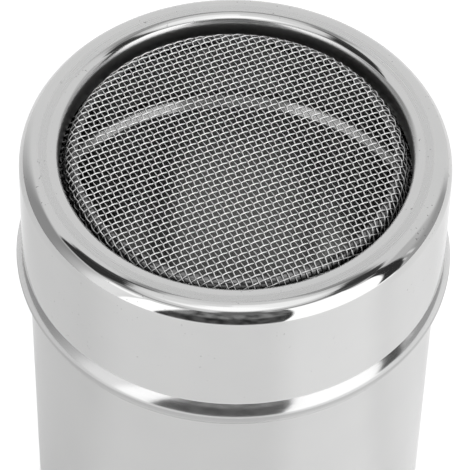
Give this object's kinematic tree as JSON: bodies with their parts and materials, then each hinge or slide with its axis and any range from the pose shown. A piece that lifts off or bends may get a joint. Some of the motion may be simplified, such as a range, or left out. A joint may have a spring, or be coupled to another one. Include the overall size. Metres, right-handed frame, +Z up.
{
  "type": "mesh-top spice shaker",
  "caption": "Round stainless-steel shaker: drawn cup with a stop bead and a lift-off lid whose wide opening holds a woven wire screen, for dusting spice, cocoa or icing sugar.",
  "frame": {"origin": "middle of the standing ring, on the surface the shaker stands on", "axes": "+Z up along the shaker's axis, towards the screen; the shaker is round, so X and Y are free"},
  "size_m": [0.075, 0.075, 0.095],
  "materials": {
    "polished_steel": "polished stainless sheet with faint drawing lines",
    "satin_steel": "polished stainless sheet, fine circular grain on the flat rim",
    "screen_wire": "bright drawn stainless wire",
    "ring_steel": "plain mill-finish stainless sheet"
  },
  "bodies": {
    "cup": {"body_cup": "polished_steel"},
    "lid": {"lid_shell": "satin_steel", "retaining_ring": "ring_steel", "wire_screen": "screen_wire"}
  },
  "joints": [
    {"name": "lid_lift", "type": "slide", "parent": "cup", "child": "lid", "axis": [0, 0, 1], "range_m": [0, 0.03]}
  ]
}
